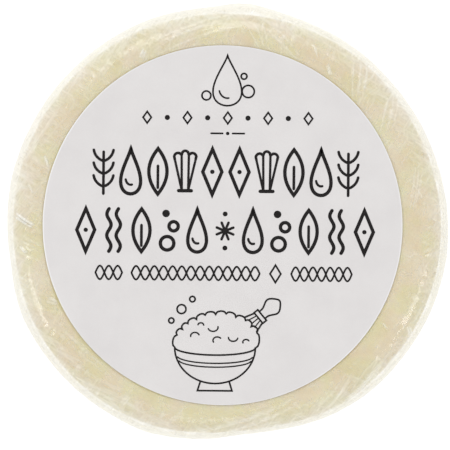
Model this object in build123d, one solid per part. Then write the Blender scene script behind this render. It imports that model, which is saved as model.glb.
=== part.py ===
from build123d import *
import os

# Wrapped shaving soap puck, in millimetres, +Z up.
#
# A round bar of hard soap lies in one sheet of clear stretch film. The film is pulled over the top and
# down the side, and its edges are gathered under the puck. A round paper label is stuck on top of the
# film, and a smaller one underneath holds the gather closed.
#
# The origin is the centre of the face that the puck stands on. +Y is the top of the upper label's print.

# Soap
soap_diameter = 59.0
soap_height = 20.0
soap_edge_radius = 3.0

# Film. The sheet itself is about a hundredth of a millimetre thick, so these hold its creases too.
film_thickness = 0.12  # over the top and down the side, crease tops to soap
film_gather_thickness = 0.45  # the folded layers underneath
film_side_slack = 0.45  # air between the soap's side and the film that bridges its edges

# Labels. Each margin is what stays bare of the flat face that the label is stuck to.
label_thickness = 0.1
top_label_margin = 1.5
base_label_margin = 6.5
top_label_off_centre = (-0.44, -0.03)  # stuck on by hand, a little off the puck's axis

# What follows from the sizes above
soap_radius = soap_diameter / 2
flat_radius = soap_radius - soap_edge_radius
soap_bottom = label_thickness + film_gather_thickness
soap_top = soap_bottom + soap_height
film_top = soap_top + film_thickness


def disc(radius, bottom, top):
    """An upright cylinder between two heights."""
    cylinder = Cylinder(radius, top - bottom, align=(Align.CENTER, Align.CENTER, Align.MIN))
    return Pos(0, 0, bottom) * cylinder


def round_bar(radius, bottom, top, edge_radius):
    """A disc with both of its edges rounded."""
    rims = disc(radius, bottom, top).edges().filter_by(GeomType.CIRCLE)
    return fillet(rims, edge_radius)


def soap_puck():
    """The bar of soap, a plain pressed disc."""
    return round_bar(soap_radius, soap_bottom, soap_top, soap_edge_radius)


def film_wrap():
    """The film as a closed skin: it touches the soap on both flat faces and stands off its side."""
    inner_edge_radius = soap_edge_radius + film_side_slack
    hollow = round_bar(soap_radius + film_side_slack, soap_bottom, soap_top, inner_edge_radius)
    outside = round_bar(
        soap_radius + film_side_slack + film_thickness,
        label_thickness,
        film_top,
        inner_edge_radius + film_thickness,
    )
    return outside - hollow


def label(margin, bottom, off_centre=(0, 0)):
    """A round paper sticker that leaves a margin of the puck's flat face bare."""
    return Pos(*off_centre, 0) * disc(flat_radius - margin, bottom, bottom + label_thickness)


pieces = {
    "soap_puck": soap_puck(),
    "film_wrap": film_wrap(),
    "top_label": label(top_label_margin, film_top, top_label_off_centre),
    "base_label": label(base_label_margin, 0),
}

os.makedirs("parts", exist_ok=True)
for name, piece in pieces.items():
    piece.label = name
    export_step(piece, f"parts/{name}.step")
    size = piece.bounding_box().size
    print(f"{name}: {piece.volume:.1f} mm3, {size.X:.2f} x {size.Y:.2f} x {size.Z:.2f} mm")
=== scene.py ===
import math

import bpy
import numpy as np
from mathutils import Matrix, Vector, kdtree


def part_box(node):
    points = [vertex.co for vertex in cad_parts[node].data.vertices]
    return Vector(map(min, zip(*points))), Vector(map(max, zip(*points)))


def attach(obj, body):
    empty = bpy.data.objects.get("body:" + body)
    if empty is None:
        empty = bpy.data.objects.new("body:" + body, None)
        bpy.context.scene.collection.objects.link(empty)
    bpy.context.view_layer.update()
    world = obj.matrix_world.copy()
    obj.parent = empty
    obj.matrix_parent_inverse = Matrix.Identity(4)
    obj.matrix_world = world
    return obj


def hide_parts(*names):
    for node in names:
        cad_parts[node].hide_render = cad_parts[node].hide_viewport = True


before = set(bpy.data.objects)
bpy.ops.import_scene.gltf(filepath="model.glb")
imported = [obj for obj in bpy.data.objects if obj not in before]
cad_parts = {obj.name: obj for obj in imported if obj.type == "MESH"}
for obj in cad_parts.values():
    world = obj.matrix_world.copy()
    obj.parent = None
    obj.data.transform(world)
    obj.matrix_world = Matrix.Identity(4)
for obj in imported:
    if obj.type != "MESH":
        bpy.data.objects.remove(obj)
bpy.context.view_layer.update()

# A bar of shaving soap in clear stretch film, with a paper label stuck on top of the film and a smaller
# one underneath. Shapes are worked out in millimetres, in the CAD frame, and written to meshes in metres.

MM = 0.001
TURN = 2 * math.pi


# ---------------------------------------------------------------- sizes

def box_mm(node):
    """A CAD node's lowest and highest corner, in millimetres."""
    return [np.array(corner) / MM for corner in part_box(node)]


soap_low, soap_high = box_mm("soap_puck")
label_low, label_high = box_mm("top_label")

SOAP_RADIUS = (soap_high[0] - soap_low[0]) / 2
SOAP_TOP = soap_high[2]
SOAP_BOTTOM = soap_low[2]
EDGE_RADIUS = 3.0  # of the soap's rounded edges
FLAT_RADIUS = SOAP_RADIUS - EDGE_RADIUS

LABEL_RADIUS = (label_high[0] - label_low[0]) / 2
LABEL_CENTRE = (label_low + label_high) / 2
LABEL_TOP = label_high[2]
BASE_LABEL_TOP = box_mm("base_label")[1][2]


# ---------------------------------------------------------------- small tools

def add_piece(name, points, faces, material, smooth=True):
    """A mesh object from points in millimetres, riding on the puck's only body."""
    mesh = bpy.data.meshes.new(name)
    mesh.from_pydata((np.asarray(points) * MM).tolist(), [], faces)
    mesh.update()
    if smooth:
        mesh.shade_smooth()
    mesh.materials.append(material)
    piece = bpy.data.objects.new(name, mesh)
    bpy.context.scene.collection.objects.link(piece)
    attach(piece, "root")
    return piece


def polar_faces(rings, columns):
    """Faces of a closed solid of revolution. Its points are one on the axis, then rings, then one more."""
    faces = [(0, 1 + k, 1 + (k + 1) % columns) for k in range(columns)]
    for row in range(rings - 1):
        a, b = 1 + row * columns, 1 + (row + 1) * columns
        faces += [(a + k, b + k, b + (k + 1) % columns, a + (k + 1) % columns) for k in range(columns)]
    last, a = 1 + rings * columns, 1 + (rings - 1) * columns
    return faces + [(last, a + (k + 1) % columns, a + k) for k in range(columns)]


def smoothstep(low, high, value):
    """0 below low, 1 above high, and a smooth rise between."""
    t = np.clip((value - low) / (high - low), 0, 1)
    return t * t * (3 - 2 * t)


def wander(angle, seed, low, high):
    """Smooth periodic noise of an angle in radians, about -1 to 1, from waves of low to high per turn."""
    random = np.random.default_rng(seed)
    waves = range(low, high + 1)
    total = sum(np.sin(k * angle + random.uniform(0, TURN)) * random.uniform(0.5, 1) for k in waves)
    spread = math.sqrt(0.3 * len(waves))
    return total / spread / 2


# ---------------------------------------------------------------- material tools

class Nodes:
    """A node material being built."""

    def __init__(self, name):
        self.material = bpy.data.materials.new(name)
        self.material.use_nodes = True
        self.tree = self.material.node_tree
        self.tree.nodes.clear()

    def plug(self, value, socket):
        """Gives an input socket a fixed value, or links it to an output."""
        if isinstance(value, bpy.types.NodeSocket):
            self.tree.links.new(value, socket)
        else:
            socket.default_value = value

    def add(self, kind, **settings):
        """A new node. Each setting goes to the input of that name, or else to the node itself."""
        node = self.tree.nodes.new("ShaderNode" + kind)
        for key, value in settings.items():
            if key in node.inputs:
                self.plug(value, node.inputs[key])
            else:
                setattr(node, key, value)
        return node

    def place(self):
        """Where a point is on the object, in metres."""
        return self.add("TexCoord").outputs["Object"]

    def attribute(self, name):
        """A value that the mesh holds at each point."""
        return self.add("Attribute", attribute_name=name).outputs["Fac"]

    def noise(self, vector, scale, detail=3, roughness=0.55, distortion=0.0):
        """Noise over a vector in metres; scale is in waves per metre."""
        return self.add("TexNoise", Vector=vector, Scale=scale, Detail=detail, Roughness=roughness,
                        Distortion=distortion).outputs["Fac"]

    def ramp(self, value, stops):
        """A colour ramp: stops are (position, (r, g, b))."""
        node = self.add("ValToRGB", Fac=value)
        elements = node.color_ramp.elements
        while len(elements) < len(stops):
            elements.new(0.5)
        for element, (position, colour) in zip(elements, stops):
            element.position = position
            element.color = (*colour, 1)
        return node.outputs["Color"]

    def maths(self, operation, a, b=0.0, clamp=False):
        """One Math node on two values or sockets."""
        node = self.add("Math", operation=operation, use_clamp=clamp)
        self.plug(a, node.inputs[0])
        self.plug(b, node.inputs[1])
        return node.outputs["Value"]

    def scaled(self, value, factor, plus=0.0):
        """A value times a factor, plus a number or another value."""
        return self.maths("ADD", self.maths("MULTIPLY", value, factor), plus)

    def blended(self, first, share, second):
        """A share of one value and the rest of another."""
        return self.scaled(first, share, self.maths("MULTIPLY", second, 1 - share))

    def bump(self, height, strength, distance, normal=None):
        """A normal tilted by a height, on top of another bump's normal where one is given."""
        node = self.add("Bump", Strength=strength, Distance=distance, Height=height)
        if normal is not None:
            self.plug(normal, node.inputs["Normal"])
        return node.outputs["Normal"]

    def mixed_colours(self, blend, share, first, second):
        """Two colours mixed; share is the second one's."""
        node = self.add("Mix", data_type="RGBA", blend_type=blend, Factor=share)
        self.plug(first, node.inputs[6])
        self.plug(second, node.inputs[7])
        return node.outputs[2]

    def mixed_shaders(self, share, first, second):
        """Two shaders mixed; share is the second one's."""
        node = self.add("MixShader", Fac=share)
        self.plug(first, node.inputs[1])
        self.plug(second, node.inputs[2])
        return node.outputs["Shader"]

    def shader(self, kind, **settings):
        """A shader node's output."""
        return self.add("Bsdf" + kind, **settings).outputs["BSDF"]

    def finished(self, surface):
        """The material, with this shader as its surface."""
        self.add("OutputMaterial", Surface=surface)
        return self.material


# ---------------------------------------------------------------- materials

PAPER_FIBRES = {"scale": 5200, "detail": 4, "roughness": 0.7, "distortion": 1.5}


def soap_material():
    """Hard tallow-and-milk soap: cream, waxy, with pale and darker clouds and a finely pressed skin. Some
    patches lean to pink and some to yellow-green."""
    nodes = Nodes("soap")
    place = nodes.place()
    clouds = nodes.noise(place, 160, detail=5, roughness=0.6, distortion=0.4)
    flecks = nodes.noise(place, 1400, detail=4, roughness=0.7)
    cream = nodes.ramp(nodes.blended(clouds, 0.7, flecks), [
        (0.36, (0.625, 0.525, 0.302)),
        (0.50, (0.652, 0.57, 0.361)),
        (0.64, (0.672, 0.608, 0.415)),
    ])
    tint = nodes.ramp(nodes.noise(place, 240, detail=2), [
        (0.42, (1.0, 0.965, 1.0)),
        (0.58, (0.975, 1.0, 0.9)),
    ])
    grain = nodes.noise(place, 3200, detail=3, roughness=0.6)
    dents = nodes.noise(place, 420, detail=2)
    grained = nodes.bump(grain, strength=0.35, distance=0.00008)
    dented = nodes.bump(dents, strength=0.5, distance=0.0002, normal=grained)
    return nodes.finished(nodes.shader("Principled", **{
        "Base Color": nodes.mixed_colours("MULTIPLY", 1.0, cream, tint),
        "Roughness": nodes.scaled(flecks, 0.25, 0.42),
        "Specular IOR Level": 0.3,
        "Subsurface Weight": 0.25,
        "Subsurface Scale": 0.0025,
        "Subsurface Radius": (1.0, 0.75, 0.4),
        "Normal": dented,
    }))


def paper_material():
    """Uncoated label paper, tinted a cool grey white, with fibres that show only close up and a near-white
    painted highlight along its cut edge."""
    nodes = Nodes("label_paper")
    place = nodes.place()
    fibres = nodes.noise(place, **PAPER_FIBRES)
    tinted = nodes.ramp(nodes.blended(nodes.noise(place, 220), 0.5, fibres), [
        (0.35, (0.602, 0.582, 0.579)),
        (0.65, (0.646, 0.628, 0.622)),
    ])
    # Colour of the painted highlight along the cut edge.
    painted_edge_highlight = (0.8, 0.8, 0.81, 1)
    return nodes.finished(nodes.shader("Principled", **{
        "Base Color": nodes.mixed_colours("MIX", nodes.attribute("cut"), tinted, painted_edge_highlight),
        "Roughness": nodes.scaled(fibres, 0.2, 0.55),
        "Normal": nodes.bump(fibres, strength=0.3, distance=0.00002),
    }))


def ink_material():
    """Black printing ink, thinly uneven where the paper's fibres take it."""
    nodes = Nodes("label_ink")
    fibres = nodes.noise(nodes.place(), **PAPER_FIBRES)
    return nodes.finished(nodes.shader("Principled", **{
        "Base Color": nodes.ramp(fibres, [
            (0.35, (0.006, 0.005, 0.005)),
            (0.70, (0.022, 0.020, 0.020)),
        ]),
        "Roughness": nodes.scaled(fibres, 0.25, 0.6),
        "Specular IOR Level": 0.12,
    }))


def film_material():
    """Clear stretch film: see-through with a gloss, and milky where it is creased. The mesh's value per
    point is how much of the light it scatters seen straight on; seen at a slant there is more film in the
    way. Besides the film's real milkiness that value holds painted light: glints on the tallest folds, a
    paler side towards 120 degrees and a paler rim."""
    nodes = Nodes("clear_film")
    place = nodes.place()
    streaks = []
    for direction in (55, 150):
        along = nodes.add("Mapping", vector_type="TEXTURE", Vector=place, Scale=(5.5, 1.0, 4.0),
                          Rotation=(0.0, 0.0, math.radians(direction)))
        streaks.append(nodes.noise(along.outputs["Vector"], 1500, detail=2, roughness=0.5, distortion=0.3))
    streaks = nodes.maths("MAXIMUM", *streaks)

    # A thin sheet reflects alike from both sides, which a Fresnel node doesn't give.
    facing = nodes.add("LayerWeight", Blend=0.5).outputs["Facing"]
    head_on = 0.05
    reflected = nodes.scaled(nodes.maths("POWER", facing, 5.0), 1 - head_on, head_on)
    gloss = nodes.shader("Glossy", Color=(1, 1, 1, 1), Roughness=0.09,
                         Normal=nodes.bump(streaks, strength=0.12, distance=0.00005))
    clear = nodes.shader("Transparent", Color=(0.99, 0.99, 0.985, 1))
    skin = nodes.mixed_shaders(reflected, clear, gloss)

    white = (0.973, 0.973, 0.94, 1)
    lit_in_front, lit_behind = nodes.shader("Diffuse", Color=white), nodes.shader("Translucent", Color=white)
    milk = nodes.mixed_shaders(0.3, lit_in_front, lit_behind)
    haze_and_painted_light = nodes.maths("MULTIPLY", nodes.attribute("haze_and_painted_light"), nodes.maths("MULTIPLY", streaks, 1.7))
    through = nodes.maths("SUBTRACT", 1.0, haze_and_painted_light, clamp=True)
    slant = nodes.maths("MAXIMUM", nodes.maths("SUBTRACT", 1.0, facing), 0.1)
    unscattered = nodes.maths("POWER", through, nodes.maths("DIVIDE", 1.0, slant))
    scattered = nodes.maths("SUBTRACT", 1.0, unscattered, clamp=True)
    return nodes.finished(nodes.mixed_shaders(scattered, skin, milk))


def floor_material():
    """A white light table, so that the puck throws no shadow to speak of. It is clear from below."""
    nodes = Nodes("white_floor")
    lit = nodes.shader("Principled", **{
        "Base Color": (0.2, 0.2, 0.2, 1),
        "Roughness": 0.9,
        "Emission Color": (1, 1, 1, 1),
        "Emission Strength": 0.9,
    })
    from_below = nodes.add("NewGeometry").outputs["Backfacing"]
    return nodes.finished(nodes.mixed_shaders(from_below, lit, nodes.shader("Transparent")))


SOAP = soap_material()
PAPER = paper_material()
INK = ink_material()
FILM = film_material()


# ---------------------------------------------------------------- film

FILM_GAP = 0.06  # between the soap and the film where it lies tight
END_RADIUS = 9.5  # how close to the axis the film's edge comes, under the base label
PLEATS = 46
FINE_COLUMNS = 1440  # round the puck on top, where creases are a few tenths of a millimetre wide
COLUMNS = 720  # round it elsewhere

# Heights in mm.
FINE_RISE = 0.035  # of the fine creases on top, at most
SIDE_RISE = 0.06  # of those down the side
FACET_RISE = 0.04  # of the creases between the crumpled film's facets
FOLD_RISE = 0.15  # of a middling fold that was pulled into the film

# By angle in degrees from +X, in mm: how far the soap's side stands in from a true circle, and how far the
# film stands off it.
OUT_OF_ROUND = [
    (0, -0.5), (12, -0.35), (28, -0.15), (60, -0.1), (78, 0.05), (96, 0.1), (116, -0.1), (190, -0.1),
    (204, -0.5), (232, -0.5), (250, -0.25), (263, 0.4), (276, 0.9), (288, 0.55), (302, -0.2), (318, -0.3),
    (336, -0.5), (348, -0.55),
]
STAND_OFF = [
    (0, 0.93), (12, 0.83), (28, 0.83), (48, 0.78), (62, 0.86), (70, 0.84), (76, 0.98), (85, 1.65), (89, 1.2),
    (96, 0.88), (108, 0.96), (122, 0.78), (150, 0.73), (168, 0.88), (180, 0.73), (190, 0.63), (203, 1.03),
    (216, 0.93), (232, 0.88), (250, 1.03), (264, 0.83), (276, 0.43), (288, 0.58), (300, 0.68), (314, 0.88),
    (332, 0.88), (348, 0.98),
]

# Which way the fine creases run, by angle: degrees from straight outwards, where 90 is along the rim.
CREASE_LEAN = [
    (0, 60), (30, 45), (60, 25), (90, 15), (120, -20), (150, -40), (180, -40), (200, -60), (225, -85),
    (250, -90), (280, -82), (300, -85), (315, -90), (330, -95), (345, -110), (360, -120),
]

# Distances along the film from the axis, in mm, at which its profile turns.
ARC = math.pi / 2 * (EDGE_RADIUS + FILM_GAP)
S_SHOULDER = FLAT_RADIUS
S_SIDE = S_SHOULDER + ARC
S_LOWER_EDGE = S_SIDE + SOAP_TOP - SOAP_BOTTOM - 2 * EDGE_RADIUS
S_UNDERSIDE = S_LOWER_EDGE + ARC
S_END = S_UNDERSIDE + FLAT_RADIUS - END_RADIUS


def film_profile(s):
    """Where a tight film is at s mm along it from the axis: (radius, height, normal's r, normal's z)."""
    tight = EDGE_RADIUS + FILM_GAP
    if s <= S_SHOULDER:
        return s, SOAP_TOP + FILM_GAP, 0.0, 1.0
    if s <= S_SIDE:
        turn = (s - S_SHOULDER) / tight
        return (FLAT_RADIUS + tight * math.sin(turn), SOAP_TOP - EDGE_RADIUS + tight * math.cos(turn),
                math.sin(turn), math.cos(turn))
    if s <= S_LOWER_EDGE:
        return SOAP_RADIUS + FILM_GAP, SOAP_TOP - EDGE_RADIUS - (s - S_SIDE), 1.0, 0.0
    if s <= S_UNDERSIDE:
        turn = (s - S_LOWER_EDGE) / tight
        return (FLAT_RADIUS + tight * math.cos(turn), SOAP_BOTTOM + EDGE_RADIUS - tight * math.sin(turn),
                math.cos(turn), -math.sin(turn))
    return FLAT_RADIUS - (s - S_UNDERSIDE), SOAP_BOTTOM - FILM_GAP, 0.0, -1.0


def around_rim(knots, angle, blur=4):
    """A value that follows (degrees, value) knots round the rim, at angles in radians. It is averaged over
    blur degrees either way."""
    degrees = np.degrees(angle) % 360
    at, values = np.array([(a + turn, v) for turn in (-360, 0, 360) for a, v in knots], float).T
    return np.mean([np.interp(degrees + d, at, values) for d in np.linspace(-blur, blur, 9)], axis=0)


def out_of_round(angle):
    """How far the soap's side stands in from a true circle, in mm."""
    return around_rim(OUT_OF_ROUND, angle, blur=6)


def edge_share(radius):
    """How much of the side's unevenness a point at this radius takes."""
    return smoothstep(FLAT_RADIUS - 5, SOAP_RADIUS, radius)


# Folds that were pulled into the film, each a bundle of near-parallel ridges. From and to are (degrees, mm
# along the film from the axis); then how many ridges, their spacing, their height and their width in mm.
# The taller ones, from about 0.2 mm, turn strongly milky: painted glints along their ridges.
BUNDLES = [
    ((86, 28.6), (113, 26.3), 4, 0.5, 0.09, 0.12),
    ((82, 28.4), (78, 25.3), 3, 0.9, 0.08, 0.13),
    ((78, 28.2), (66, 25.2), 2, 0.7, 0.1, 0.12),
    ((114.5, 26.9), (117, 25.9), 2, 0.35, 0.34, 0.11),
    ((64, 27.8), (61, 26.4), 1, 0.5, 0.2, 0.11),
    ((58, 26.4), (55, 25.4), 2, 0.4, 0.2, 0.11),
    ((50, 29.0), (44, 25.4), 3, 1.0, 0.1, 0.13),
    ((38, 29.5), (30, 25.6), 3, 0.9, 0.1, 0.13),
    ((18, 28.0), (3, 25.6), 3, 0.45, 0.09, 0.13),
    ((8, 27.2), (13, 26.2), 1, 0.4, 0.16, 0.12),
    ((177, 29.2), (180.5, 26.6), 2, 0.55, 0.5, 0.11),
    ((168, 28.0), (170.5, 27.0), 1, 0.4, 0.3, 0.1),
    ((159, 26.9), (162, 25.9), 1, 0.4, 0.28, 0.1),
    ((186, 28.6), (188, 27.8), 1, 0.5, 0.5, 0.12),
    ((184, 28.3), (188, 25.8), 3, 0.6, 0.09, 0.13),
    ((203, 26.6), (205, 25.5), 2, 0.35, 0.22, 0.11),
    ((207, 27.2), (232, 25.7), 2, 0.7, 0.08, 0.24),
    ((213, 29.2), (238, 27.2), 2, 0.9, 0.08, 0.26),
    ((226, 29.5), (246, 27.4), 2, 0.8, 0.08, 0.26),
    ((262, 30.0), (294, 26.2), 4, 0.7, 0.09, 0.2),
    ((296, 29.0), (310, 26.5), 2, 0.6, 0.07, 0.2),
    ((305, 29.6), (318, 28.6), 3, 0.4, 0.12, 0.14),
    ((327, 26.5), (328, 25.4), 1, 0.4, 0.18, 0.11),
    ((329, 29.8), (331, 28.6), 2, 0.4, 0.2, 0.11),
]


def ridges(angle, s, lines):
    """The height in mm of nearly straight pinched folds at points of the film. lines are rows of
    (start angle, start s, end angle, end s, height, width, bow), in radians and mm."""
    height = np.zeros_like(s)
    for a0, s0, a1, s1, rise, width, bow in lines:
        middle = (a0 + a1) / 2
        x = ((angle - middle + math.pi) % TURN - math.pi) * SOAP_RADIUS
        x0, x1 = (a0 - middle) * SOAP_RADIUS, (a1 - middle) * SOAP_RADIUS
        length = math.hypot(x1 - x0, s1 - s0)
        reach = length / 2 + 3 * width + abs(bow)
        near = np.nonzero((np.abs(x) < reach) & (np.abs(s - (s0 + s1) / 2) < reach))[0]
        if not len(near):
            continue
        ux, us = (x1 - x0) / length, (s1 - s0) / length
        dx, ds = x[near] - x0, s[near] - s0
        along = (dx * ux + ds * us) / length
        arch = 4 * along * (1 - along)
        across = dx * us - ds * ux - bow * arch
        fade = np.clip(arch, 0, 1) ** 0.7
        height[near] = np.maximum(height[near], rise * fade * np.exp(-(np.abs(across) / width) ** 1.4))
    return height


def pulled_lines():
    """The lines of BUNDLES, spread and varied."""
    random = np.random.default_rng(3)
    lines = []
    for (deg0, s0), (deg1, s1), count, spacing, rise, width in BUNDLES:
        a0, a1 = math.radians(deg0), math.radians(deg1)
        x, s = (a1 - a0) * SOAP_RADIUS, s1 - s0
        length = math.hypot(x, s)
        for k in range(count):
            shift = (k - (count - 1) / 2) * spacing + random.uniform(-0.15, 0.15)
            da, ds = shift * s / length / SOAP_RADIUS, -shift * x / length
            slide = random.uniform(-0.12, 0.12)
            lines.append((
                a0 + da + slide * (a1 - a0), s0 + ds + slide * s,
                a1 + da * random.uniform(0.5, 1.1), s1 + ds * random.uniform(0.5, 1.1),
                rise * random.uniform(0.6, 1.1), width * random.uniform(0.8, 1.2),
                random.uniform(-0.03, 0.03) * length,
            ))
    return lines


def fine_lines(groups, s_low, s_high, seed, longest, rise, width):
    """Small creases in groups of near-parallel lines, between two distances along the film. Their lean from
    the radial direction drifts round the puck, and some go against it."""
    random = np.random.default_rng(seed)
    lines = []
    for _ in range(groups):
        a, s = random.uniform(0, TURN), random.uniform(s_low, s_high)
        lean = np.interp(math.degrees(a), *np.array(CREASE_LEAN, float).T) + random.normal(0, 14)
        lean = math.radians(random.choice([lean, -lean, random.uniform(-90, 90)], p=[0.7, 0.18, 0.12]))
        half = random.uniform(0.35, 1) * longest / 2
        spacing = random.uniform(0.42, 0.75)
        strength = random.uniform(0.4, 1) ** 2
        for k in range(random.integers(1, 6)):
            turned = lean + random.normal(0, 0.07)
            reach = half * random.uniform(0.5, 1)
            shift, slide = spacing * k + random.normal(0, 0.08), random.normal(0, 0.3)
            middle_a = a + (shift * math.cos(lean) + slide * math.sin(lean)) / SOAP_RADIUS
            middle_s = s - shift * math.sin(lean) + slide * math.cos(lean)
            da, ds = reach * math.sin(turned) / SOAP_RADIUS, reach * math.cos(turned)
            lines.append((middle_a - da, middle_s - ds, middle_a + da, middle_s + ds,
                          rise * strength * random.uniform(0.5, 1), width * random.uniform(0.7, 1.3),
                          random.uniform(-0.25, 0.25)))
    return lines


def crumple(points, cell, seed):
    """0 inside flat facets and 1 on the creases between them, for points in mm; facets are about cell mm."""
    random = np.random.default_rng(seed)
    area = TURN * SOAP_RADIUS * (SOAP_TOP + SOAP_RADIUS)
    count = int(area / cell ** 2)
    seeds = points[random.integers(0, len(points), count)] + random.normal(0, cell / 4, (count, 3))
    tree = kdtree.KDTree(count)
    for k, place in enumerate(seeds):
        tree.insert(place, k)
    tree.balance()
    near = np.array([[hit[2] for hit in tree.find_n(p, 2)] for p in points])
    return np.exp(-((near[:, 1] - near[:, 0]) / (0.16 * cell)) ** 1.2)


def film_shape(angle, s):
    """The film's points in mm and at each how milky it is, painted light included, from angles and distances
    along the sheet.
    """
    base = np.array([film_profile(v) for v in s])
    radius, height, out_r, out_z = base.T
    tight = np.stack([radius * np.cos(angle), radius * np.sin(angle), height], axis=1)

    past_label = np.hypot(tight[:, 0] - LABEL_CENTRE[0], tight[:, 1] - LABEL_CENTRE[1]) - LABEL_RADIUS
    under_label = np.where(s < S_SIDE, 1 - smoothstep(-0.25, 0.15, past_label), 0)

    bridge = smoothstep(S_SHOULDER - 0.5, S_SIDE + 3, s) * (1 - smoothstep(S_SIDE + 5, S_UNDERSIDE, s))
    off = around_rim(STAND_OFF, angle) * bridge

    pulled = ridges(angle, s, pulled_lines())
    fine = ridges(angle, s, fine_lines(
        groups=470, s_low=25.0, s_high=31.5, seed=11, longest=4.2, rise=FINE_RISE, width=0.135))
    side_fine = ridges(angle, s, fine_lines(
        groups=260, s_low=32, s_high=52, seed=12, longest=7.0, rise=SIDE_RISE, width=0.25))
    facets = crumple(tight * [1, 1, 0.6], cell=2.4, seed=5)

    # Gathered pleats. A pleat's phase runs round the puck, and its layers overlap where swing is over 1.
    swirl = 0.1 * smoothstep(S_UNDERSIDE - 3, S_END, s)
    turned = angle + swirl
    phase = PLEATS * turned + 2.2 * wander(turned, seed=21, low=3, high=17)
    starts = S_SIDE + 8 + 4 * wander(turned, seed=22, low=4, high=30)
    grown = smoothstep(starts, starts + 11, s)
    strength = np.clip(0.75 + 0.25 * wander(turned, seed=23, low=5, high=40), 0.4, 1)
    under = smoothstep(S_LOWER_EDGE, S_UNDERSIDE + 1, s)
    depth = grown * strength * (0.32 * (1 - under) + 0.15 * under)
    overlap = 5 + 8.5 * smoothstep(S_UNDERSIDE, S_END, s)
    swing = grown * strength * (1 - under + overlap * under)
    pitch = TURN * radius / PLEATS
    sideways = swing * pitch / TURN * np.sin(phase)

    loose = (1 - under_label) * (1 - under)
    lift = off + depth * (1 + np.sin(phase)) + loose * (pulled + fine + side_fine + FACET_RISE * facets)
    lift += 0.03 * loose * (1 + wander(angle, seed=31, low=6, high=24)) * smoothstep(S_SHOULDER, S_SIDE, s)
    room = np.where(s > S_UNDERSIDE, SOAP_BOTTOM - BASE_LABEL_TOP - 2 * FILM_GAP, np.inf)
    lift = np.minimum(lift, room)

    moved_angle = angle + sideways / np.maximum(radius, 1)
    moved_radius = radius - out_of_round(angle) * edge_share(radius) + out_r * lift
    points = np.stack([moved_radius * np.cos(moved_angle), moved_radius * np.sin(moved_angle),
                       height + out_z * lift], axis=1)

    # It is milkiest round the shoulder, partly real and partly a painted pale glow on the rounded edge where
    # the bright surroundings light it, and every fold and crease adds to that.
    haze_and_painted_light = np.interp(s, [S_SHOULDER, S_SIDE - 1, S_SIDE + 2, S_LOWER_EDGE], [0.2, 0.42, 0.34, 0.1])
    # Milkier towards 120 degrees: painted light, that side made paler as if more light fell on it.
    haze_and_painted_light += 0.045 * np.cos(angle - math.radians(120)) + 0.05 * wander(angle, seed=41, low=3, high=12)
    # Creases make the film milky; on the tallest pulled folds this goes near white, as painted glints.
    haze_and_painted_light += 0.45 * pulled / FOLD_RISE + 0.17 * fine / FINE_RISE
    haze_and_painted_light += 0.2 * side_fine / SIDE_RISE + 0.04 * facets
    haze_and_painted_light *= np.where(s < S_SIDE, smoothstep(0.0, 0.2, past_label), 1)
    haze_and_painted_light += 0.3 * grown * np.exp(-((np.cos(phase) - 1) / 0.3) ** 2) * (0.3 + 0.7 * under)
    return points, np.clip(haze_and_painted_light, 0, 0.95)


def film_sheet():
    """One sheet from the puck's axis over the top, down the side and in underneath. Its mesh is finest on
    the part of the top that the label leaves bare, and coarse under the labels."""
    hidden = [6.0, 12.0, 18.0, 22.0]
    fine = list(np.linspace(24.7, 30.3, 40))
    side = list(np.linspace(30.7, S_LOWER_EDGE, 26))
    lower = list(np.linspace(S_LOWER_EDGE + 0.4, S_UNDERSIDE + 6.5, 26))
    inner = [S_UNDERSIDE + 8.5, S_UNDERSIDE + 11, S_END]
    rows = [(s, COLUMNS) for s in hidden] + [(s, FINE_COLUMNS) for s in fine]
    rows += [(s, COLUMNS) for s in side + lower + inner]

    angles, distances, starts = [0.0], [0.0], []
    for s, columns in rows:
        starts.append(len(angles))
        angles.extend(np.arange(columns) * TURN / columns)
        distances.extend([s] * columns)
    angles, distances = np.array(angles), np.array(distances)
    points, haze_and_painted_light = film_shape(angles, distances)
    points[0] = (0, 0, SOAP_TOP + FILM_GAP)

    faces = [(0, starts[0] + k, starts[0] + (k + 1) % COLUMNS) for k in range(COLUMNS)]
    for (_, outer), (_, inner_count), a, b in zip(rows, rows[1:], starts, starts[1:]):
        count = min(outer, inner_count)
        for k in range(count):
            j = (k + 1) % count
            if outer == inner_count:
                faces.append((a + k, b + k, b + j, a + j))
            elif outer < inner_count:
                faces.append((a + k, b + 2 * k, b + 2 * k + 1, b + (2 * k + 2) % inner_count, a + j))
            else:
                faces.append((a + 2 * k, b + k, b + j, a + (2 * k + 2) % outer, a + 2 * k + 1))
    piece = add_piece("film_sheet", points, faces, FILM)
    piece.data.attributes.new("haze_and_painted_light", "FLOAT", "POINT").data.foreach_set("value", haze_and_painted_light)
    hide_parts("film_wrap")
    return piece


# A square of film, 140 mm a side, in overlapping folds underneath. Its very corners are bunched under the
# base label, out of sight, and aren't modelled.
film = film_sheet()


# ---------------------------------------------------------------- soap

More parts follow.
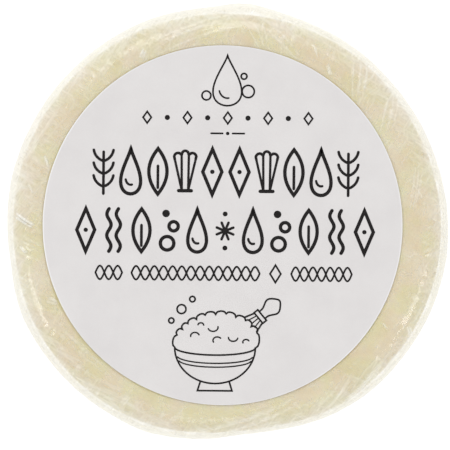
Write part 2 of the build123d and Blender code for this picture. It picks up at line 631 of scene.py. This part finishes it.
def soap_bar():
    """The bar itself: a pressed disc, flattened where it was knocked, with a slightly uneven skin."""
    columns = 360
    flat = (5, 10, 15, 20, 23, 25)
    quarter = np.linspace(0, math.pi / 2, 13)
    profile = [(r, SOAP_TOP) for r in flat]
    profile += [(FLAT_RADIUS + EDGE_RADIUS * math.sin(turn),
                 SOAP_TOP - EDGE_RADIUS + EDGE_RADIUS * math.cos(turn)) for turn in quarter]
    sides = np.linspace(SOAP_TOP - EDGE_RADIUS, SOAP_BOTTOM + EDGE_RADIUS, 22)[1:-1]
    profile += [(SOAP_RADIUS, z) for z in sides]
    profile += [(FLAT_RADIUS + EDGE_RADIUS * math.cos(turn),
                 SOAP_BOTTOM + EDGE_RADIUS - EDGE_RADIUS * math.sin(turn)) for turn in quarter]
    profile += [(r, SOAP_BOTTOM) for r in flat[::-1]]

    around = np.arange(columns) * TURN / columns
    points = [(0, 0, SOAP_TOP)]
    for radius, height in profile:
        worn = out_of_round(around) * edge_share(radius)
        uneven = 0.05 * wander(around + height / 9, seed=61, low=3, high=25) * edge_share(radius)
        r = radius - worn - np.maximum(uneven, 0)
        points.extend(zip(r * np.cos(around), r * np.sin(around), np.full(columns, height)))
    points.append((0, 0, SOAP_BOTTOM))

    piece = add_piece("soap_bar", points, polar_faces(len(profile), columns), SOAP)
    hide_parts("soap_puck")
    return piece


soap = soap_bar()


# ---------------------------------------------------------------- labels

# By angle in degrees from +X, in mm: how far the top label's very edge has come up.
EDGE_CURL = [
    (0, 0.01), (90, 0.0), (180, 0.01), (215, 0.03), (245, 0.03), (270, 0.01), (300, 0.03), (325, 0.02),
]
# By angle, how strong the painted highlight along the paper's cut edge is.
PAINTED_EDGE_HIGHLIGHT = [
    (0, 0.5), (60, 0.4), (95, 0.2), (150, 0.8), (195, 0.8), (222, 0.1), (285, 0.2), (308, 0.6), (340, 0.6),
]


def label_lift(x, y):
    """How far the top label stands off the film at points from its centre, in mm: it is pressed on by hand,
    so it has faint waves, and its edge has come up a little on one side."""
    waves = np.sin(x / 3.3 + 0.7) + np.sin(y / 4.1 + 1.9) + np.sin((x - y) / 5.7)
    at_edge = smoothstep(LABEL_RADIUS - 0.9, LABEL_RADIUS, np.hypot(x, y))
    return 0.006 * (3 + waves) + at_edge * around_rim(EDGE_CURL, np.arctan2(y, x))


def paper_label(name, node, lift):
    """A round die-cut label with its edge crushed a little by the die, standing in for a CAD node."""
    low, high = box_mm(node)
    centre, radius = (low + high) / 2, (high[0] - low[0]) / 2
    columns = 720
    die = 0.03  # how wide the crushed edge is
    rings = [(r, high[2]) for r in np.linspace(1, radius - 1, 26)]
    rings += [(r, high[2]) for r in np.linspace(radius - 0.8, radius - 0.2, 4)]
    rings += [(radius - 0.1, high[2]), (radius - die, high[2])]
    rings += [(radius, high[2] - die), (radius, low[2] + die)]
    rings += [(r, low[2]) for r in (radius - die, radius - 0.3, radius - 0.8, radius / 2, 1)]
    around = np.arange(columns) * TURN / columns
    points = []
    for r, z in [(0, high[2])] + rings + [(0, low[2])]:
        angles = around if r else np.zeros(1)
        x, y = r * np.cos(angles), r * np.sin(angles)
        points.extend(zip(centre[0] + x, centre[1] + y, z + lift(x, y)))
    faces = polar_faces(len(rings), columns)
    piece = add_piece(name, points, faces, PAPER)
    piece.data.set_sharp_from_angle(angle=math.radians(35))
    x, y = (np.array(points)[:, :2] - centre[:2]).T
    # The painted edge highlight covers the outermost 0.1 to 0.2 mm of the top and the cut side, stronger on
    # some sides.
    cut = smoothstep(radius - 0.2, radius - 0.1, np.hypot(x, y)) * around_rim(PAINTED_EDGE_HIGHLIGHT, np.arctan2(y, x))
    piece.data.attributes.new("cut", "FLOAT", "POINT").data.foreach_set("value", cut)
    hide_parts(node)
    return piece


paper_label("top_label_paper", "top_label", label_lift)
paper_label("base_label_paper", "base_label", lambda x, y: 0 * x)  # flat, for the puck stands on it


# ---------------------------------------------------------------- print

# The print is a list of strokes: (points in mm from the label's centre, line width in mm, closed or not).
# It is ornament only. Two bold rows of shaving and bath motifs stand where a headline would.

PRINT_TURN = -0.5  # degrees
INK_DEPTH = 0.02  # how far the ink's solid reaches into the paper
INK_PROUD = 0.01  # how far it stands over the paper
BOLD, MEDIUM, FINE = 0.485, 0.26, 0.25  # line widths
CAP = 5  # points on a line's round end


def curve(x, y):
    """Points of a line from its x and y values, either of which may be one number."""
    return np.stack(np.broadcast_arrays(np.asarray(x, float), np.asarray(y, float)), axis=-1).reshape(-1, 2)


def arc(cx, cy, rx, ry, start, end, count=24):
    """Part of an ellipse, from start to end degrees."""
    turn = np.radians(np.linspace(start, end, count))
    return curve(cx + rx * np.cos(turn), cy + ry * np.sin(turn))


def ring(cx, cy, radius, width):
    """A circle, as a stroke."""
    return arc(cx, cy, radius, radius, 0, 345, 24), width, True


def diamond(cx, cy, width, height, line):
    """An upright diamond, as a stroke."""
    corners = [(cx, cy + height / 2), (cx + width / 2, cy), (cx, cy - height / 2), (cx - width / 2, cy)]
    return np.array(corners), line, True


def dot(cx, cy, radius):
    """A filled dot: a very short line with round ends."""
    return curve([cx - 0.01, cx + 0.01], cy), 2 * radius, False


def teardrop(cx, cy, width, height, line):
    """A drop with its point at the top."""
    turn = np.linspace(0, TURN, 41)[:-1]
    across = np.sin(turn) * np.sin(turn / 2) ** 1.6
    return curve(cx + across * width / 2 / across.max(), cy + np.cos(turn) * height / 2), line, True


def leaf(cx, cy, width, height, line):
    """A leaf pointed at both ends, with a vein from its foot."""
    up = np.linspace(-1, 1, 15)
    side = (1 - up ** 2) * width / 2
    outline = np.concatenate([curve(cx + side, cy + up * height / 2)[:-1],
                              curve(cx - side, cy + up * height / 2)[::-1][:-1]])
    vein = curve(cx, [cy - height * 0.36, cy + height * 0.12])
    return [(outline, line, True), (vein, line * 0.8, False)]


def scallops(start, end, bumps, rise):
    """A line of round bumps between two points, on the left of the way from start to end."""
    start, end = np.array(start, float), np.array(end, float)
    step = (end - start) / bumps
    left = np.array([-step[1], step[0]]) / np.hypot(*step)
    t = np.linspace(0, 1, 9)
    bump = t[:, None] * step + np.sqrt(np.clip(1 - (2 * t - 1) ** 2, 0, 1))[:, None] * rise * left
    return np.concatenate([(start + k * step + bump)[(0 if k == 0 else 1):] for k in range(bumps)])


# Motifs of the bold rows. Each fills a cell about cx, cy, of a given height.

def motif_drop(cx, cy, height):
    shine = arc(cx, cy - height * 0.16, height * 0.11, height * 0.14, 190, 285, 8)
    return [teardrop(cx, cy, height * 0.44, height, BOLD), (shine, BOLD * 0.7, False)]


def motif_leaf(cx, cy, height):
    return leaf(cx, cy, height * 0.4, height, BOLD)


def motif_diamond(cx, cy, height):
    return [diamond(cx, cy, height * 0.42, height, BOLD), dot(cx, cy, BOLD * 0.62)]


def motif_bubbles(cx, cy, height):
    return [ring(cx - height * 0.05, cy - height * 0.3, height * 0.2 - BOLD / 2, BOLD),
            ring(cx + height * 0.1, cy + height * 0.1, height * 0.15 - BOLD / 2, BOLD),
            dot(cx - height * 0.08, cy + height * 0.4, height * 0.09)]


def motif_sprig(cx, cy, height):
    """A stem with three pairs of slanting leaves."""
    strokes = [(curve(cx, [cy - height / 2, cy + height * 0.42]), BOLD * 0.8, False)]
    for level in (-0.22, 0.06, 0.34):
        for side in (-1, 1):
            up = np.linspace(0, 1, 7)
            across, rise = 0.22 * side * np.sin(up * 1.4), level - 0.12 + 0.24 * up ** 1.5
            strokes.append((curve(cx + height * across, cy + height * rise), BOLD * 0.8, False))
    return strokes


def motif_waves(cx, cy, height):
    """Two upright wavy lines side by side."""
    up = np.linspace(-0.5, 0.5, 33)
    strokes = []
    for side in (-1, 1):
        path = curve(cx + side * height * 0.11 + height * 0.05 * np.sin(up * TURN * 2), cy + up * height)
        strokes.append((path, BOLD, False))
    return strokes


def motif_shell(cx, cy, height):
    """A fan of ribs over a small foot, inside a scalloped edge."""
    foot = cy - height * 0.42
    strokes = []
    tips = []
    for lean in np.radians([-30, -10, 10, 30]):
        root = cx + height * 0.07 * math.copysign(1, lean)
        tips.append((cx + height * 0.46 * math.sin(lean), foot + height * 0.8 * math.cos(lean)))
        strokes.append((np.array([(root, foot), tips[-1]]), BOLD * 0.7, False))
    for a, b in zip(tips, tips[1:]):
        strokes.append((scallops(a, b, 1, height * 0.09), BOLD * 0.8, False))
    strokes.append((curve([cx - height * 0.14, cx + height * 0.14], foot), BOLD, False))
    return strokes


def motif_star(cx, cy, height):
    """Eight rays with a dot above and below."""
    strokes = []
    for lean in np.radians([22.5, 67.5, 112.5, 157.5]):
        reach = height * 0.21
        ray = [(cx - reach * math.cos(lean), cy - reach * math.sin(lean)),
               (cx + reach * math.cos(lean), cy + reach * math.sin(lean))]
        strokes.append((np.array(ray), BOLD * 0.75, False))
    return strokes + [dot(cx, cy + height * 0.4, BOLD * 0.7), dot(cx, cy - height * 0.4, BOLD * 0.7)]


HEADLINE = [motif_sprig, motif_drop, motif_leaf, motif_shell, motif_diamond]
SECOND_LINE = [motif_diamond, motif_waves, motif_leaf, motif_bubbles, motif_drop, motif_star]


def headline():
    """Ten motifs, mirrored about the middle, over eleven more."""
    strokes = []
    rows = (
        (HEADLINE + HEADLINE[::-1], -16.6, 17.4, 7.4, 6.8),
        (SECOND_LINE + SECOND_LINE[-2::-1], -19.0, 19.7, -0.8, 6.4),
    )
    for motifs, left, right, y, height in rows:
        for motif, x in zip(motifs, np.linspace(left, right, len(motifs))):
            strokes += motif(x, y, height - BOLD)
    return strokes


def emblem(cx=0.5, cy=20.1):
    """A drop with bubbles beside it."""
    shine = arc(cx, cy - 1.1, 1.15, 1.35, 195, 280, 12)
    return [teardrop(cx, cy, 4.0, 7.0, FINE), (shine, FINE, False),
            ring(cx - 2.9, cy - 2.1, 0.62, FINE), ring(cx + 2.9, cy - 1.5, 0.85, FINE),
            ring(cx + 2.3, cy + 0.6, 0.4, FINE)]


def spaced_row(count=9, y=14.9):
    """Small diamonds and dots in turn."""
    strokes = []
    for k, x in enumerate(np.linspace(-10.6, 11.8, count)):
        strokes.append(dot(x, y, 0.36) if k % 2 else diamond(x, y, 1.15, 1.6, FINE))
    return strokes


def short_rule(cx=0.6, y=12.75):
    """Dash, dot, dash."""
    return [(curve([cx - 2.3, cx - 0.7], y), FINE, False), dot(cx, y, 0.24),
            (curve([cx + 0.7, cx + 2.3], y), FINE, False)]


def braid_row(y=-6.7):
    """Two wavy lines that cross, in lengths like the words of a line, with a diamond between two of them."""
    strokes = []
    for left, right in ((-17.6, -13.9), (-12.6, 5.2), (9.6, 18.0)):
        periods = round((right - left) / 2.5 * 2) / 2
        x = np.linspace(0, 1, int(periods * 16) + 1)
        for side in (-1, 1):
            wave = 0.95 * side * np.sin(x * periods * TURN)
            strokes.append((curve(left + x * (right - left), y + wave), MEDIUM, False))
    strokes.append(diamond(7.4, y, 1.5, 2.4, MEDIUM))
    return strokes


def bowl():
    """A lather bowl: rim, body, foot and two lines round its middle."""
    cx, rim, half_width = -0.9, -17.0, 5.6
    body = arc(cx, rim, half_width, 5.0, 180, 360, 33)
    low_rim = arc(cx, rim, half_width, 1.05, 180, 360, 25)
    foot = np.array([(-2.0, -4.7), (-2.4, -6.0), (2.4, -6.0), (2.0, -4.7)]) + (cx, rim)
    strokes = [(body, FINE, False), (low_rim, FINE, False), (foot, FINE, False)]
    for depth, half, sag in ((1.2, 5.25, 1.0), (1.75, 5.05, 0.98)):
        strokes.append((arc(cx, rim - depth, half, sag, 188, 352, 23), FINE * 0.8, False))
    return strokes


def lather():
    """A cloud of foam over the rim, with a few curls inside and bubbles rising from it."""
    hill = [(4.75, -17.0), (4.9, -14.9), (3.3, -13.2), (0.6, -12.3), (-2.3, -12.5), (-4.7, -13.7),
            (-6.2, -15.3), (-6.5, -17.0)]
    path = [scallops(a, b, 1 if k in (0, 6) else 2, 0.42)[(0 if k == 0 else 1):]
            for k, (a, b) in enumerate(zip(hill[::-1], hill[-2::-1]))]
    strokes = [(np.concatenate(path), FINE, False)]
    for x, y, reach, start in ((-3.7, -15.4, 0.6, 20), (-1.2, -14.2, 0.7, 200), (-0.6, -16.0, 0.6, 40),
                               (-2.9, -13.9, 0.4, 0), (1.6, -15.6, 0.65, 180), (3.4, -16.2, 0.45, 30)):
        strokes.append((arc(x, y, reach, reach * 0.8, start, start + 170, 10), FINE * 0.85, False))
    strokes += [ring(-5.6, -11.7, 0.62, FINE), ring(-4.1, -10.3, 0.38, FINE), ring(-7.0, -13.3, 0.36, FINE)]
    return strokes


def brush(x=2.3, y=-15.2, lean=50):
    """A shaving brush that stands in the lather and leans to the right: bristles, collar, turned handle."""
    turn = math.radians(lean)
    spin = np.array([[math.cos(turn), -math.sin(turn)], [math.sin(turn), math.cos(turn)]])

    def place(points):
        return np.asarray(points, float) @ spin + (x, y)

    t = np.linspace(0, 1, 7)
    half_width = 1.3 - 0.42 * t
    strokes = [(place(curve(side * half_width, 2.25 + 1.35 * t)), FINE, False) for side in (-1, 1)]
    for side in (-0.5, 0, 0.5):
        strokes.append((place(curve(side * half_width, 2.45 + 1.0 * t)), FINE * 0.7, False))
    strokes.append((place([(-0.95, 3.65), (-0.95, 4.3), (0.95, 4.3), (0.95, 3.65)]), FINE, True))
    up = np.sin(np.linspace(0, math.pi / 2, 25))
    belly = 0.62 + 0.62 * np.sin(np.clip(up - 0.1, 0, 1) * 2.9) ** 2
    half = belly * np.sqrt(1 - np.clip((up - 0.45) / 0.55, 0, 1) ** 2)
    height = 4.35 + 3.1 * up
    handle = np.concatenate([curve(-half, height), curve(half, height)[::-1][1:]])
    return strokes + [(place(handle), FINE, False)]


def ribbon_edges(path, width, closed):
    """The left and right edge of a line of even width along a path, with mitred corners."""
    ahead = np.roll(path, -1, axis=0) - path
    back = np.roll(ahead, 1, axis=0)
    if not closed:
        ahead[-1], back[0] = back[-1], ahead[0]
    left_of = [np.stack([-d[:, 1], d[:, 0]], axis=1) / np.hypot(*d.T)[:, None] for d in (ahead, back)]
    mitre = left_of[0] + left_of[1]
    mitre /= np.hypot(*mitre.T)[:, None]
    reach = width / 2 / np.maximum((mitre * left_of[0]).sum(axis=1), 0.4)
    return path + mitre * reach[:, None], path - mitre * reach[:, None]


def add_stroke(points, faces, path, width, closed, proud):
    """Adds one stroke to a mesh, as a thin closed solid sunk a little into the paper. proud is how far its
    top stands over the paper, in mm."""
    left, right = ribbon_edges(path, width, closed)
    count = len(path)
    caps = []
    if not closed:
        sweep = -math.pi * np.arange(1, CAP + 1) / (CAP + 1)
        for end, edge in ((path[-1], left[-1]), (path[0], right[0])):
            x, y = edge - end
            caps.append(np.stack([end[0] + x * np.cos(sweep) - y * np.sin(sweep),
                                  end[1] + x * np.sin(sweep) + y * np.cos(sweep)], axis=1))
    flat = np.concatenate([left, right] + caps)
    top, bottom = len(points), len(points) + len(flat)
    paper = LABEL_TOP + label_lift(*(flat - LABEL_CENTRE[:2]).T)
    for height in (proud, -INK_DEPTH):
        points.extend(zip(*flat.T, paper + height))

    tops = []
    for k in range(count if closed else count - 1):
        j = (k + 1) % count
        tops.append((k, count + k, count + j, j))
    if closed:
        loops = [list(range(count)), list(range(2 * count - 1, count - 1, -1))]
    else:
        end_cap = list(range(2 * count, 2 * count + CAP))
        start_cap = [v + CAP for v in end_cap]
        tops += [(2 * count - 1, *end_cap[::-1], count - 1), (0, *start_cap[::-1], count)]
        loops = [list(range(count)) + end_cap + list(range(2 * count - 1, count - 1, -1)) + start_cap]
    for face in tops:
        faces.append(tuple(top + v for v in face))
        faces.append(tuple(bottom + v for v in face[::-1]))
    for loop in loops:
        for a, b in zip(loop, loop[1:] + loop[:1]):
            faces.append((top + a, top + b, bottom + b, bottom + a))


def label_print():
    """All the strokes as one piece of ink on the top label, turned a little as it was stuck on."""
    turn = math.radians(PRINT_TURN)
    spin = np.array([[math.cos(turn), math.sin(turn)], [-math.sin(turn), math.cos(turn)]])
    points, faces = [], []
    strokes = headline() + emblem() + spaced_row() + short_rule() + braid_row() + bowl() + lather() + brush()
    for k, (path, width, closed) in enumerate(strokes):
        # Strokes that cross lie at different heights, so that no two faces share a place.
        proud = INK_PROUD + 0.0012 * (k % 7)
        add_stroke(points, faces, np.asarray(path) @ spin + LABEL_CENTRE[:2], width, closed, proud)
    add_piece("label_print", points, faces, INK, smooth=False)


label_print()


# ---------------------------------------------------------------- studio

def add_floor():
    """A wide square just under the puck, in mm like the rest."""
    half, z = 3000.0, -0.02
    points = [(-half, -half, z), (half, -half, z), (half, half, z), (-half, half, z)]
    mesh = bpy.data.meshes.new("floor")
    mesh.from_pydata((np.array(points) * MM).tolist(), [], [(0, 1, 2, 3)])
    floor = bpy.data.objects.new("floor", mesh)
    mesh.materials.append(floor_material())
    bpy.context.scene.collection.objects.link(floor)


LIGHT_DISTANCE = 1.3  # metres from the puck


def add_softbox(name, azimuth, elevation, size, power):
    """A square area light aimed at the puck. Azimuth is in degrees from +X; size is in metres."""
    light = bpy.data.lights.new(name, "AREA")
    light.shape = "SQUARE"
    light.size = size
    light.energy = power
    lamp = bpy.data.objects.new(name, light)
    a, e = math.radians(azimuth), math.radians(elevation)
    out = LIGHT_DISTANCE * math.cos(e)
    lamp.location = (out * math.cos(a), out * math.sin(a), LIGHT_DISTANCE * math.sin(e))
    lamp.rotation_euler = (math.pi / 2 - e, 0, a + math.pi / 2)
    bpy.context.scene.collection.objects.link(lamp)


def add_world(horizon, zenith):
    """White surroundings that are brighter low down than overhead."""
    world = bpy.data.worlds.new("studio")
    world.use_nodes = True
    tree = world.node_tree
    direction = tree.nodes.new("ShaderNodeTexCoord")
    parts = tree.nodes.new("ShaderNodeSeparateXYZ")
    fade = tree.nodes.new("ShaderNodeMapRange")
    fade.inputs["To Min"].default_value = horizon
    fade.inputs["To Max"].default_value = zenith
    tree.links.new(direction.outputs["Generated"], parts.inputs["Vector"])
    tree.links.new(parts.outputs["Z"], fade.inputs["Value"])
    background = tree.nodes["Background"]
    background.inputs["Color"].default_value = (1, 1, 1, 1)
    tree.links.new(fade.outputs["Result"], background.inputs["Strength"])
    bpy.context.scene.world = world


CAMERA_HEIGHT = 1.5  # metres above the label
CAMERA_ASIDE = -0.0001  # metres along X from the puck's axis
VIEW_WIDTH = 0.0625  # metres that the picture covers at the label
SENSOR = 36.0  # mm


def add_camera():
    """Straight above the puck, with the top of the print at the top of the picture."""
    camera = bpy.data.cameras.new("camera")
    camera.sensor_width = SENSOR
    camera.lens = SENSOR * CAMERA_HEIGHT / VIEW_WIDTH
    camera.clip_end = 20  # metres
    rig = bpy.data.objects.new("camera", camera)
    rig.location = (CAMERA_ASIDE, 0, LABEL_TOP * MM + CAMERA_HEIGHT)
    bpy.context.scene.collection.objects.link(rig)
    bpy.context.scene.camera = rig


add_floor()
add_world(horizon=1.1, zenith=0.745)
add_softbox("key", azimuth=100, elevation=55, size=0.6, power=3.9)
add_softbox("left", azimuth=200, elevation=50, size=0.3, power=1.35)
add_softbox("right", azimuth=335, elevation=50, size=0.3, power=1.15)
add_softbox("front", azimuth=275, elevation=55, size=0.4, power=0.7)
add_camera()
bpy.context.scene.view_settings.view_transform = "Standard"
